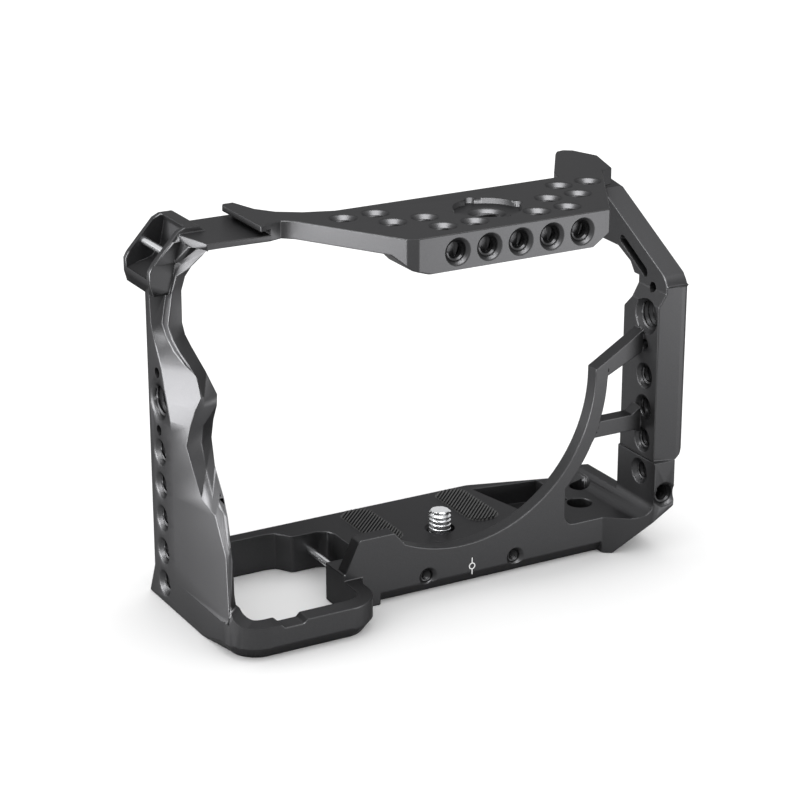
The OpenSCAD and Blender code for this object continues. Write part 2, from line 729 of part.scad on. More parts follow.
module wing_outline() {
    polygon(concat(
        [for (s = wing_shares) [wing_left_x + wing_w * s[0], strut_front + strut_d * s[1]]],
        [[wing_right_x, wing_root_back], [wing_right_x, wing_root_front]]
    ));
}

module shoe_wing() {
    color(alloy) {
        along_z(frame_h - lip_t, frame_h) wing_outline();
        intersection() {
            along_z(plate_bottom, frame_h - lip_t) wing_outline();
            translate([step_x, front_y, 0]) cube([frame_w, frame_d, frame_h]);
        }
    }
}

// Top plate: its corners, its round recess and its front block's bevelled ends, whose points are
// shares of the ends' width and of the block's height under the plate
diag_x_share = -0.115;
diag_x = frame_w * diag_x_share;
plate_right_x_share = 0.289;
plate_right_x = frame_w * plate_right_x_share;
right_root_x_share = 0.43;
right_root_x = frame_w * right_root_x_share;
blend_shares = [0.43, 0.41];
recess_r = 9.3;
recess_deep = 1.5;
block_left_shares = [[-1, 0], [-0.3, 0.714], [0.6, 1]];
block_right_shares = [[-1, 1], [0, 0.286], [0, 0]];
front_row_share = 0.51;

module plate_outline() {
    polygon([
        [wing_right_x, wing_root_front], [diag_x - 2 * edge, plate_front + edge],
        [diag_x, plate_front], [plate_right_x, plate_front], [right_root_x, plate_back],
        [wing_right_x + blend_w, plate_back],
        [wing_right_x + blend_w * blend_shares[0],
            plate_back + (wing_root_back - plate_back) * blend_shares[1]],
        [wing_right_x, wing_root_back]
    ]);
}

function block_points(x, shares) = [
    for (s = shares) [x + block_end_w * s[0], plate_bottom - (block_h - plate_t) * s[1]]
];

module top_plate() {
    color(alloy) difference() {
        union() {
            along_z(plate_bottom, frame_h) plate_outline();
            intersection() {
                along_z(frame_h - block_h, frame_h) plate_outline();
                along_y(plate_front, plate_front + block_d) polygon(concat(
                    block_points(diag_x, block_left_shares),
                    block_points(plate_right_x, block_right_shares),
                    [[plate_right_x, frame_h], [diag_x - block_end_w, frame_h]]
                ));
            }
        }
        for (g = top_grid) translate([grid_x + g[0] * hole_pitch, grid_y + g[1] * hole_pitch, frame_h])
            tapped_hole(quarter_r, block_h + over);
        for (g = front_grid)
            translate([grid_x + g * hole_pitch, plate_front, frame_h - block_h * front_row_share])
                rotate([90, 0, 0]) tapped_hole(quarter_r, front_deep);
        translate([grid_x, grid_y, frame_h - recess_deep]) {
            cylinder(r = recess_r, h = recess_deep + over);
            for (a = [0, 90, 180, 270]) rotate(a) translate([recess_r, 0, 0])
                cylinder(r = locate_r, h = recess_deep + over);
            tapped_hole(large_r, block_h);
        }
    }
}

// Rear flare of the top plate, over the root of the arm: shares of the overall width and of the
// way from the plate's rear edge to the cage's back
flare_x_share = 0.33;
flare_shares = [
    [0.345, 0.214], [0.421, 0.827], [0.433, 0.902], [0.449, 0.918], [0.466, 0.856],
    [0.486, 0.545], [0.458, 0.041]
];

module rear_flare() {
    color(alloy) along_z(plate_bottom, frame_h) polygon(concat(
        [[right_root_x, plate_back], [frame_w * flare_x_share, plate_back]],
        [for (s = flare_shares) [frame_w * s[0], plate_back + (back_y - plate_back) * s[1]]]
    ));
}

// Slanted arm, seen from the side: shares of the way from the wall's front to the cage's back, and
// of the height from the wall's top to the top plate
arm_shares = [
    [0.3036, 0], [0.0225, 0], [0.0338, 0.056], [0.0575, 0.134], [0.605, 0.919], [0.808, 1],
    [0.91, 1], [0.808, 0.794], [0.614, 0.273], [0.451, 0.264], [0.34, 0.129]
];
slot_shares = [[0.409, 0.377], [0.21, 0.0685]];

function arm_points(shares) = [
    for (s = shares) [wall_front + (back_y - wall_front) * s[0], arm_z + (plate_bottom - arm_z) * s[1]]
];

module right_arm() {
    ends = arm_points(slot_shares);
    color(alloy) difference() {
        along_x(arm_in_x, right_x) polygon(arm_points(arm_shares));
        along_x(arm_in_x - over, right_x + over) hull() for (p = ends) translate(p) circle(slot_w / 2);
    }
}

// Right wall: where the cut at its top ends, as shares of the cut's height and the wall's depth
wall_cut_low_share = 0.61;
wall_cut_top_share = 0.218;
wall_cut_y_share = 0.2;

module right_wall() {
    cut_y = wall_back - wall_d * wall_cut_y_share;
    cut_z = arm_z - wall_cut * wall_cut_low_share;
    color(alloy) difference() {
        intersection() {
            along_z(foot_top_z, arm_z) polygon([
                [wall_in_x, wall_front + wall_edge], [rail_in_x, wall_front],
                [rail_in_x, wall_back], [wall_in_x, wall_back]
            ]);
            along_y(wall_front, wall_back) polygon([
                [wall_in_x, foot_top_z], [wall_in_x, cut_z],
                [arm_in_x, arm_z - wall_cut * wall_cut_top_share], [arm_in_x, arm_z],
                [rail_in_x, arm_z], [rail_in_x, foot_top_z]
            ]);
            along_x(wall_in_x, rail_in_x) polygon([
                [wall_front, foot_top_z], [wall_front, arm_z], [cut_y, arm_z], [cut_y, cut_z],
                [wall_back, arm_z - wall_cut], [wall_back, foot_top_z]
            ]);
        }
        wall_holes(wall_in_x, wall_t + over);
    }
}

// The wall's tapped and locating holes, entered from the inner face at x
module wall_holes(x, deep) {
    translate([x, wall_hole_y, right_large_z]) rotate([0, -90, 0]) tapped_hole(large_r, deep);
    for (side = [-1, 1]) translate([x - over, wall_hole_y, right_large_z + side * locate_pitch])
        rotate([0, 90, 0]) cylinder(r = locate_r, h = deep + over);
    for (z = hole_row(right_first_z, base_h + foot_fillet_r)) translate([x, wall_hole_y, z])
        rotate([0, -90, 0]) tapped_hole(quarter_r, deep);
}

module side_rail() {
    color(alloy) difference() {
        intersection() {
            along_z(foot_top_z, arm_z) polygon([
                [rail_in_x, wall_front], [right_x - edge, wall_front], [right_x, wall_front + edge],
                [right_x, wall_back], [rail_in_x, wall_back]
            ]);
            along_y(wall_front, wall_back) polygon([
                [rail_in_x, foot_top_z], [right_x, foot_top_z + rail_t], [right_x, arm_z],
                [rail_in_x, arm_z]
            ]);
        }
        wall_holes(wall_in_x, wall_t + over);
    }
}

// Lens arch: its left end's points are shares of the block's width and of that end's height
arch_end_shares = [[0.0456, 0], [0.415, 0.94], [0.511, 1]];
arch_flat_share = 0.507;
arch_start_a = -115.4;
arch_end_a = 2;
web_x_share = 0.715;
web_fillet_r = 2 * fillet_r;

module lens_arch() {
    flat_x = arch_x - arch_r * arch_flat_share;
    end_x = min(nose_left_x, flat_x - nose_w);
    web_x = arch_x + arch_out_r * web_x_share;
    color(alloy) along_y(base_front, arch_back) polygon(concat(
        [for (s = arch_end_shares) [end_x + nose_w * s[0], base_h + arch_end_h * s[1]]],
        [[flat_x, base_h + arch_end_h]],
        arc(arch_x, arch_z, arch_r, arch_start_a, arch_end_a, 48),
        arc(arch_x, arch_z, arch_out_r, arch_end_a, -acos(web_x_share), 20),
        arc(web_x + web_fillet_r, base_h + web_fillet_r, web_fillet_r, 180, 270, 6)
    ));
}

// Link from the arch's end up to the wall
link_tip_w = 1.3;
link_tip_h = 2.2;
link_low_share = 0.66;
link_start_a = -1.5;

module upper_link() {
    tip_z = arch_z + link_tip_h;
    color(alloy) along_y(base_front, arch_back) polygon(concat(
        [[wall_in_x, arch_z - link_tip_w + link_rise * link_low_share]],
        arc(arch_x, arch_z, arch_out_r, link_start_a, arch_end_a, 4),
        arc(arch_x, arch_z, arch_r, arch_end_a, arch_end_a, 1),
        [[arch_x + arch_r + link_tip_w, tip_z], [wall_in_x, tip_z + link_rise]]
    ));
}

// Spoke between the arch and the wall, with its flared end in shares of its height
spoke_top = arch_z - arch_r / 3;
spoke_flare_shares = [[-0.6, 0], [0, 0.4], [0, -1.2], [-0.4, -1]];

module lower_spoke() {
    high_a = asin((spoke_top - arch_z) / arch_out_r);
    low_a = asin((spoke_top - spoke_h - arch_z) / arch_out_r);
    color(alloy) along_y(base_front, arch_back) polygon(concat(
        arc(arch_x, arch_z, arch_out_r, low_a, high_a, 6),
        [for (s = spoke_flare_shares) [wall_in_x + spoke_h * s[0], spoke_top + spoke_h * s[1]]]
    ));
}

module rubber_pad(x) color(rubber) along_z(base_h - pad_t, base_h + run_gap) pad_place(x);

module left_rubber_pad() rubber_pad(pad_left_x);
module right_rubber_pad() rubber_pad(pad_right_x);

// Camera screw: head, shank, the clip's groove, threaded end and bevelled tip
groove_r = screw_r - groove_deep;
head_slot_share = 0.4;

module camera_screw() {
    tip = base_h + screw_out;
    groove_top = web_z + clip_t + run_gap;
    color(steel) translate([screw_x, 0, 0]) difference() {
        union() {
            translate([0, 0, loose_gap]) cylinder(r = head_r, h = head_top - loose_gap);
            translate([0, 0, loose_gap]) cylinder(r = screw_r, h = web_z - loose_gap);
            translate([0, 0, loose_gap]) cylinder(r = groove_r, h = groove_top - loose_gap);
            translate([0, 0, groove_top]) cylinder(r = screw_r, h = tip - groove_deep - groove_top);
            translate([0, 0, tip - groove_deep]) cylinder(r1 = screw_r, r2 = groove_r, h = groove_deep);
        }
        translate([-head_r, -head_slot_w / 2, 0])
            cube([2 * head_r, head_slot_w, loose_gap + head_top * head_slot_share]);
    }
}

module screw_clip() {
    color(black_steel) translate([screw_x, 0, web_z + run_gap / 2]) difference() {
        cylinder(r = screw_r + clip_t, h = clip_t);
        translate([0, 0, -over]) cylinder(r = groove_r + run_gap, h = clip_t + 2 * over);
    }
}

module upper_strap_pin() {
    color(steel) translate([upper_pin_x, lug_front + lug_wall / 2, upper_pin_z]) rotate([-90, 0, 0])
        cylinder(r = pin_r, h = lug_d - lug_wall);
}

module lower_strap_pin() {
    color(steel) translate([lower_pin_x, nose_back - pin_seat, pin_z]) rotate([-90, 0, 0])
        cylinder(r = pin_r, h = lower_pin_gap + 2 * pin_seat);
}

// Small set screw with its six-sided socket
set_socket_share = 0.5;

module back_set_screw() {
    color(steel) translate([leg_out_x + set_x, leg_back - set_deep, set_z]) rotate([-90, 0, 0])
        difference() {
            cylinder(r = set_r, h = set_deep + set_out);
            translate([0, 0, set_deep]) cylinder(r = set_r * set_socket_share, h = set_out + over, $fn = 6);
        }
}

// Flat driver with its tapered blade
blade_share = 0.4;

module flat_driver() {
    half = driver_l / 2;
    color(black_steel) translate([driver_x, driver_y, 0]) along_z(0, driver_t) polygon([
        [-half, -driver_w / 2], [half - driver_w, -driver_w / 2], [half, -driver_w / 2 * blade_share],
        [half, driver_w / 2 * blade_share], [half - driver_w, driver_w / 2], [-half, driver_w / 2]
    ]);
}

module driver_magnets() {
    color(steel) for (side = [-1, 1])
        translate([driver_x + side * driver_l / 4, driver_y, driver_slot_t])
            cylinder(r = magnet_r, h = magnet_t);
}

base_plate();
battery_loop();
right_foot();
left_leg();
strap_bracket();
left_strut();
shoe_wing();
top_plate();
rear_flare();
right_arm();
right_wall();
side_rail();
lens_arch();
upper_link();
lower_spoke();
left_rubber_pad();
right_rubber_pad();
camera_screw();
screw_clip();
upper_strap_pin();
lower_strap_pin();
back_set_screw();
flat_driver();
driver_magnets();
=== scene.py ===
import math

import bmesh
import bpy
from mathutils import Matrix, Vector
from mathutils.bvhtree import BVHTree
from mathutils.geometry import delaunay_2d_cdt


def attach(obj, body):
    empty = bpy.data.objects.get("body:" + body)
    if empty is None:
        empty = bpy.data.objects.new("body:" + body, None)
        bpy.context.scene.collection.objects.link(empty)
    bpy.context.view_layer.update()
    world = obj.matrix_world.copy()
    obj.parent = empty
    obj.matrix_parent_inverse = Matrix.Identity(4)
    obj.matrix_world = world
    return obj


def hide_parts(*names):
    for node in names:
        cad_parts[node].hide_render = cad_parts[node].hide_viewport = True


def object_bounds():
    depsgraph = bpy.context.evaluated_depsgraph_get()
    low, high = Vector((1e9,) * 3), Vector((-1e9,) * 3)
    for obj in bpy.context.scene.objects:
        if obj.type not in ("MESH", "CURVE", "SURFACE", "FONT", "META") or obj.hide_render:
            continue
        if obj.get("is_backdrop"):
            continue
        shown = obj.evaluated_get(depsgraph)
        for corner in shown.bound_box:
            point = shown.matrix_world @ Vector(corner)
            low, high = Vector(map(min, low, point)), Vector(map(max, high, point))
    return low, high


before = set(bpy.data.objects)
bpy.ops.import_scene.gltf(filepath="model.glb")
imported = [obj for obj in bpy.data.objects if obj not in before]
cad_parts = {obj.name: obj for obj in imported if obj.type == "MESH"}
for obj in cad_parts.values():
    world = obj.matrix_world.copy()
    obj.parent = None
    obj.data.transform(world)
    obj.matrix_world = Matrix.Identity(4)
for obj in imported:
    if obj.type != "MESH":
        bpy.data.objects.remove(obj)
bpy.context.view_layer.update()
MM = 0.001

# View. The photograph is taken from the front left and a little above, with a long lens,
# 0.68 m from the middle of the cage. Its frame is square.
CAMERA_SPOT = (-0.3150, -0.5511, 0.2827)
CAMERA_TURN = (math.radians(69.9), 0, math.radians(-29.3))
SENSOR, LENS = 36, 111.15
NEAREST, FARTHEST = 0.02, 20
bpy.ops.object.camera_add(location=CAMERA_SPOT, rotation=CAMERA_TURN)
camera = bpy.context.object
camera.data.sensor_width = SENSOR
camera.data.lens = LENS
camera.data.clip_start, camera.data.clip_end = NEAREST, FARTHEST
bpy.context.scene.camera = camera
bpy.context.scene.view_settings.view_transform = "Standard"


# Frame. One billet of aluminium alloy, milled all over, its edges broken, then bead blasted and
# anodised dark grey. The members meet in one skin here, so no seam shows where they join.
FRAME_MEMBERS = (
    "base_plate", "battery_loop", "right_foot", "left_leg", "strap_bracket", "left_strut",
    "shoe_wing", "top_plate", "rear_flare", "right_arm", "right_wall", "side_rail",
    "lens_arch", "upper_link", "lower_spoke",
)
WELD = 0.02 * MM
EDGE_BREAK = 0.35 * MM
EDGE_ANGLE = math.radians(24)
BEVEL_STEPS = 2
STRAY = 1.2
FLAT_ANGLE = math.radians(0.5)
FLAT = 0.004 * MM
FLAT_AREA = 40 * MM * MM
SAME_WAY = 0.9
NEAR_TURN = math.cos(math.radians(50))
FILL_GAP = 1e-5
FACE_WEIGHT = 60
REGION = "flat_region"
SMALL_FACE = 3 * MM * MM
BIG_FACE = 8 * MM * MM
TINY_FACE = 0.1 * MM * MM
ALLOY_DARK = "#363637"
ALLOY_LIGHT = "#434344"
LEG_END_X, LEG_LOW, LEG_HIGH, LEVEL = -58, 5, 97, 0.55
CREASE_ANGLE = math.radians(50)
EDGE_TINT = "#a8a8a8"
BLAST_GRAIN, CLOUD, BUMP_DEPTH = 0.22 * MM, 30 * MM, 0.02 * MM


def linear(colour):
    """A hex colour as the eye sees it, turned to the linear values that a shader takes."""
    parts = [int(colour[i:i + 2], 16) / 255 for i in (1, 3, 5)]
    return [c / 12.92 if c <= 0.04045 else ((c + 0.055) / 1.055) ** 2.4 for c in parts] + [1]


def add_node(material, kind, settings=None, **links):
    """Adds a node with its settings. A link's name is an input's name, or _ and its number; its
    value is a number, a colour or another node's socket."""
    node = material.node_tree.nodes.new(kind)
    for name, value in (settings or {}).items():
        setattr(node, name, value)
    for name, value in links.items():
        key = int(name[1:]) if name[0] == "_" else name.replace("_", " ")
        socket = node.inputs[key]
        if isinstance(value, bpy.types.NodeSocket):
            material.node_tree.links.new(value, socket)
        else:
            socket.default_value = value
    return node


def new_material(name):
    """An empty material, and the object's own coordinates for its textures."""
    material = bpy.data.materials.new(name)
    material.use_nodes = True
    material.node_tree.nodes.clear()
    place = add_node(material, "ShaderNodeTexCoord").outputs["Object"]
    return material, place


def finish_material(material, shader):
    """Shows the shader on the material's surface."""
    add_node(material, "ShaderNodeOutputMaterial", Surface=shader.outputs[0])


def take(obj):
    """Makes obj the only selected and active object."""
    bpy.ops.object.select_all(action="DESELECT")
    obj.select_set(True)
    bpy.context.view_layer.objects.active = obj


def copy_of(node, name):
    """A welded copy of a CAD node's mesh, in its place."""
    obj = bpy.data.objects.new(name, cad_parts[node].data.copy())
    bpy.context.scene.collection.objects.link(obj)
    take(obj)
    bpy.ops.object.mode_set(mode="EDIT")
    bpy.ops.mesh.select_all(action="SELECT")
    bpy.ops.mesh.remove_doubles(threshold=WELD)
    bpy.ops.object.mode_set(mode="OBJECT")
    obj.data.materials.clear()
    return obj


def apply_modifier(obj, kind, **settings):
    """Adds a modifier with its settings and applies it."""
    take(obj)
    modifier = obj.modifiers.new(kind.title(), kind)
    for name, value in settings.items():
        setattr(modifier, name, value)
    bpy.ops.object.modifier_apply(modifier=modifier.name)


def flat_regions(bm):
    """Groups of faces that lie in one plane, biggest first, each with its normal."""
    done, regions = set(), []
    for seed in sorted(bm.faces, key=lambda f: -f.calc_area()):
        if seed in done or seed.calc_area() < BIG_FACE:
            continue
        normal, group = seed.normal.copy(), [seed]
        height = normal.dot(seed.verts[0].co)
        done.add(seed)
        for face in group:
            for other in {f for e in face.edges for f in e.link_faces} - done:
                level = all(abs(normal.dot(v.co) - height) < FLAT for v in other.verts)
                along = other.normal.dot(normal) > SAME_WAY
                if level and (along or other.calc_area() < TINY_FACE):
                    done.add(other)
                    group.append(other)
        regions.append((group, normal))
    return regions


def refill(bm, group, normal, mark):
    """Fills a flat region anew from its rim, so that its narrow corners stay flat and closed.
    mark is written on its faces."""
    layer = bm.faces.layers.int[REGION]
    inside = set(group)
    edges = {e for f in group for e in f.edges}
    rim = [e for e in edges if sum(f in inside for f in e.link_faces) == 1]
    verts = list({v for e in rim for v in e.verts})
    turn = normal.rotation_difference(Vector((0, 0, 1)))
    origin = verts[0].co.copy()
    flat = [(turn @ (v.co - origin) / MM).xy for v in verts]
    height = sum(normal.dot(v.co - origin) for v in verts) / len(verts)
    number = {v: k for k, v in enumerate(verts)}
    lines = [(number[e.verts[0]], number[e.verts[1]]) for e in rim]
    out, _, faces, source, _, _ = delaunay_2d_cdt(flat, lines, [], 0, FILL_GAP)
    bmesh.ops.delete(bm, geom=group, context="FACES_ONLY")
    for edge in edges:
        if edge.is_valid and not edge.link_faces and edge not in rim:
            bm.edges.remove(edge)
    back = turn.inverted()
    new = [verts[s[0]] if s else bm.verts.new(
        origin + (back @ Vector((q.x * MM, q.y * MM, height)))) for s, q in zip(source, out)]
    for face in faces:
        x, y = (sum(out[k][axis] for k in face) / len(face) for axis in (0, 1))
        crossings = 0
        for a, b in lines:
            (ax, ay), (bx, by) = flat[a], flat[b]
            if (ay > y) != (by > y) and x < ax + (y - ay) * (bx - ax) / (by - ay):
                crossings += 1
        if crossings % 2 == 0:
            continue
        corners = [new[k] for k in face]
        made = bm.faces.get(corners) or bm.faces.new(corners)
        made.normal_update()
        made[layer] = mark
        if made.normal.dot(normal) < 0:
            made.normal_flip()


def is_crease(edge):
    """True for the leg's level creases, which are the ends of its swept facets."""
    ends = [v.co / MM for v in edge.verts]
    run = ends[1] - ends[0]
    level = abs(run.z) < LEVEL * run.length
    return level and all(v.x < LEG_END_X and LEG_LOW < v.z < LEG_HIGH for v in ends)


def break_edges(obj, width):
    """Bevels the sharp edges between faces of some size, draws stray corners back to the skin
    and refills the flat faces. Returns the normals of the big ones, by their mark."""
    bm = bmesh.new()
    bm.from_mesh(obj.data)
    bmesh.ops.remove_doubles(bm, verts=bm.verts, dist=WELD)
    bmesh.ops.dissolve_degenerate(bm, edges=bm.edges, dist=WELD)
    bmesh.ops.dissolve_limit(bm, angle_limit=FLAT_ANGLE, verts=bm.verts, edges=bm.edges)
    skin = BVHTree.FromBMesh(bm)
    edges = [
        e for e in bm.edges if len(e.link_faces) == 2 and e.calc_face_angle(0) > EDGE_ANGLE
        and min(f.calc_area() for f in e.link_faces) > SMALL_FACE and not is_crease(e)
    ]
    bmesh.ops.bevel(
        bm, geom=edges, offset=width, offset_type="OFFSET", segments=BEVEL_STEPS, profile=0.5,
        affect="EDGES", clamp_overlap=False, loop_slide=True, material=-1
    )
    for vert in bm.verts:
        spot, _, _, gap = skin.find_nearest(vert.co)
        if gap > STRAY * width:
            vert.co = spot
    bm.normal_update()
    bm.faces.layers.int.new(REGION)
    normals = [None]
    for group, normal in flat_regions(bm):
        middle = sum((f.calc_center_median() for f in group), Vector()) / len(group) / MM
        in_leg = middle.x < LEG_END_X and LEG_LOW < middle.z < LEG_HIGH
        mark = 0
        if sum(f.calc_area() for f in group) > FLAT_AREA and not in_leg:
            normals.append(normal)
            mark = len(normals) - 1
        refill(bm, group, normal, mark)
    for vert in [v for v in bm.verts if not v.link_edges]:
        bm.verts.remove(vert)
    bm.to_mesh(obj.data)
    bm.free()
    return normals


def keep_flat(obj, normals):
    """Gives every corner that touches a big flat face that face's own normal, so that the broken
    edges shade round and the faces stay flat."""
    mesh = obj.data
    marks = mesh.attributes[REGION].data
    touching = {}
    for face in mesh.polygons:
        if marks[face.index].value:
            for vert in face.vertices:
                touching.setdefault(vert, set()).add(marks[face.index].value)
    corners = [n.vector.copy() for n in mesh.corner_normals]
    for face in mesh.polygons:
        own = marks[face.index].value
        for corner in face.loop_indices:
            if own:
                corners[corner] = normals[own]
                continue
            near = [normals[k] for k in touching.get(mesh.loops[corner].vertex_index, ())]
            near = [n for n in near if n.dot(face.normal) > NEAR_TURN]
            if near:
                corners[corner] = max(near, key=face.normal.dot)
    mesh.normals_split_custom_set(corners)


def mesh_object(name, bm, material):
    """A new object with the mesh and one material."""
    mesh = bpy.data.meshes.new(name)
    bm.to_mesh(mesh)
    bm.free()
    obj = bpy.data.objects.new(name, mesh)
    bpy.context.scene.collection.objects.link(obj)
    mesh.materials.append(material)
    return obj


THREAD_STEPS = 32
THREAD_PHASES = (0.0, 0.12, 0.5, 0.62)
THREAD_LEVELS = (0, 0, 1, 1)
THREAD_ROWS = len(THREAD_LEVELS)
THREAD_ROOT = 0.03 * MM
THREAD_WELD = WELD / 4


def add_thread(bm, spot, outward, radius, ridge, pitch, start, end):
    """Winds a thread's ridge on a bore or a rod of that radius: inwards where ridge is negative.
    start and end are how far in it begins and stops, measured from spot against outward."""
    turn = Vector(outward).to_track_quat("Z", "Y")
    root = radius - math.copysign(THREAD_ROOT, ridge)
    rows = []
    for j in range(-THREAD_ROWS, THREAD_ROWS * (int((end - start) / pitch) + 2)):
        level, phase = THREAD_LEVELS[j % THREAD_ROWS], THREAD_PHASES[j % THREAD_ROWS]
        row = []
        for i in range(THREAD_STEPS):
            deep = start + pitch * (j // THREAD_ROWS + phase + i / THREAD_STEPS)
            r = root + ridge * level if start < deep < end else root
            deep = min(max(deep, start), end)
            a = 2 * math.pi * i / THREAD_STEPS
            place = turn @ Vector((r * math.cos(a), r * math.sin(a), -deep))
            row.append(bm.verts.new(Vector(spot) + place))
        rows.append(row)
    for j in range(len(rows) - THREAD_ROWS - 1):
        for i in range(THREAD_STEPS):
            if i + 1 < THREAD_STEPS:
                corners = [rows[j][i], rows[j][i + 1], rows[j + 1][i + 1], rows[j + 1][i]]
            else:
                over = j + THREAD_ROWS
                corners = [rows[j][i], rows[over][0], rows[over + 1][0], rows[j + 1][i]]
            bm.faces.new(corners if ridge < 0 else corners[::-1])


# The tapped holes: 1/4 inch 20, 3/8 inch 16 and M4. Each has its mouth, the way it faces, its
# thread and how deep the thread reaches.
QUARTER = {"radius": 2.65 * MM, "ridge": -0.5 * MM, "pitch": 1.27 * MM}
LARGE = {"radius": 4.15 * MM, "ridge": -0.62 * MM, "pitch": 1.5875 * MM}
SMALL = {"radius": 1.65 * MM, "ridge": -0.3 * MM, "pitch": 0.7 * MM}
SINK = 1.35
HOLE_PITCH = 9.525
UP, DOWN, LEFT, FRONT = (0, 0, 1), (0, 0, -1), (-1, 0, 0), (0, -1, 0)
GRID = (14.05, -11.9)
TOP_COLUMNS = (
    (-4, 1), (-3, 1), (-3, 0), (-2, 0), (-2, -1), (-1, -1),
    (1, -1), (2, -1), (2, 0), (3, 0), (3, 1), (4, 1),
)
PLATE_TOP, RECESS_FLOOR, BLOCK_FRONT, BLOCK_Z = 106, 104.5, -29.1, 100.95
LEG_X, LEG_Y, LEG_LARGE_Z, LEG_FIRST_Z = -71.2, 13.8, 58.3, 44.01
WALL_X, WALL_FOOT_X, WALL_Y, WALL_LARGE_Z, WALL_FIRST_Z = 63, 62.4, -16.846, 69.3, 51.775
FOOT_HOLE = (66.15, -24.7, 18.02)
BASE_FRONT, SMALL_X, SMALL_Z, SMALL_SET = -16, 8.2, 4.95, 14
TRIPOD_QUARTER, TRIPOD_LARGE = (-12.05, -3.85, 0), (26.05, -3.85, 0)
PLATE_DEEP, BLOCK_TOP_DEEP, RECESS_DEEP, BLOCK_DEEP = 4.9, 9.7, 8.2, 4.3
LEG_DEEP, WALL_DEEP, BASE_DEEP = 5.4, 8.9, 7.9
tapped = [((*GRID, RECESS_FLOOR), UP, LARGE, RECESS_DEEP)]
tapped += [((GRID[0] + c * HOLE_PITCH, GRID[1] + r * HOLE_PITCH, PLATE_TOP), UP, QUARTER,
            PLATE_DEEP if r > -1 else BLOCK_TOP_DEEP) for c, r in TOP_COLUMNS]
tapped += [((GRID[0] + c * HOLE_PITCH, BLOCK_FRONT, BLOCK_Z), FRONT, QUARTER, BLOCK_DEEP)
           for c in range(-2, 3)]
tapped += [((LEG_X, LEG_Y, LEG_LARGE_Z), LEFT, LARGE, LEG_DEEP),
           ((WALL_X, WALL_Y, WALL_LARGE_Z), LEFT, LARGE, WALL_DEEP)]
tapped += [((LEG_X, LEG_Y, LEG_FIRST_Z - k * HOLE_PITCH), LEFT, QUARTER, LEG_DEEP)
           for k in range(5)]
tapped += [((WALL_X if k < 3 else WALL_FOOT_X, WALL_Y, WALL_FIRST_Z - k * HOLE_PITCH), LEFT,
            QUARTER, WALL_DEEP) for k in range(4)]
tapped += [(FOOT_HOLE, FRONT, QUARTER, BASE_DEEP)]
tapped += [((SMALL_X + side * SMALL_SET, BASE_FRONT, SMALL_Z), FRONT, SMALL, BASE_DEEP)
           for side in (-1, 1)]
tapped += [(TRIPOD_QUARTER, DOWN, QUARTER, BASE_DEEP), (TRIPOD_LARGE, DOWN, LARGE, BASE_DEEP)]

# Bead blasting gives the eye a soft sheen with a fine grain; the dark oxide dulls what the metal
# mirrors where it is seen at a slant.
anodised, place = new_material("bead_blasted_anodised_aluminium")
blast = add_node(
    anodised, "ShaderNodeTexNoise", Vector=place, Scale=1 / BLAST_GRAIN, Detail=2.0
)
cloud = add_node(anodised, "ShaderNodeTexNoise", Vector=place, Scale=1 / CLOUD, Detail=2.0)
tone = add_node(
    anodised, "ShaderNodeMix", {"data_type": "RGBA"}, Factor=blast.outputs["Fac"],
    _6=linear(ALLOY_DARK), _7=linear(ALLOY_LIGHT)
)
rough = add_node(
    anodised, "ShaderNodeMapRange", Value=cloud.outputs["Fac"], To_Min=0.38, To_Max=0.44
)
grain = add_node(
    anodised, "ShaderNodeBump", Strength=0.15, Distance=BUMP_DEPTH, Height=blast.outputs["Fac"]
)
finish_material(anodised, add_node(
    anodised, "ShaderNodeBsdfPrincipled", Base_Color=tone.outputs[2], Metallic=0.9,
    Roughness=rough.outputs[0], Specular_Tint=linear(EDGE_TINT), Normal=grain.outputs[0]
))

members = [copy_of(name, "billet_" + name) for name in FRAME_MEMBERS]
billet = members[0]
rest = bpy.data.collections.new("members")
bpy.context.scene.collection.children.link(rest)
for member in members[1:]:
    rest.objects.link(member)
apply_modifier(
    billet, "BOOLEAN", operation="UNION", operand_type="COLLECTION", collection=rest,
    solver="EXACT"
)
for member in members[1:]:
    bpy.data.objects.remove(member)
billet.name = "cage_frame"
normals = break_edges(billet, EDGE_BREAK)
billet.data.materials.clear()
billet.data.materials.append(anodised)
threads = bmesh.new()
for spot, outward, cutter, end in tapped:
    add_thread(threads, Vector(spot) * MM, outward, start=SINK * MM, end=end * MM, **cutter)
bmesh.ops.remove_doubles(threads, verts=threads.verts, dist=THREAD_WELD)
bmesh.ops.dissolve_degenerate(threads, edges=threads.edges, dist=THREAD_WELD)
threads = mesh_object("threads", threads, anodised)
take(billet)
threads.select_set(True)
bpy.ops.object.join()
bpy.ops.object.shade_smooth_by_angle(angle=EDGE_ANGLE)
welded = bmesh.new()
welded.from_mesh(billet.data)
for edge in welded.edges:
    if is_crease(edge) and edge.calc_face_angle(math.pi) < CREASE_ANGLE:
        edge.smooth = True
welded.to_mesh(billet.data)
welded.free()
apply_modifier(billet, "WEIGHTED_NORMAL", keep_sharp=True, weight=FACE_WEIGHT)
keep_flat(billet, normals)
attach(billet, "cage")
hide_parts(*FRAME_MEMBERS)


# Alignment mark. A small white circle with a tick above and one below, printed on the base's front
# at the lens axis.
MARK_SPOT = Vector((8.1, -16.0, 5.3)) * MM
MARK_R, MARK_LINE, MARK_TICK = 1.0 * MM, 0.28 * MM, 1.5 * MM
MARK_LIFT, MARK_STEPS, INK = 0.04 * MM, 48, "#e9e9e9"
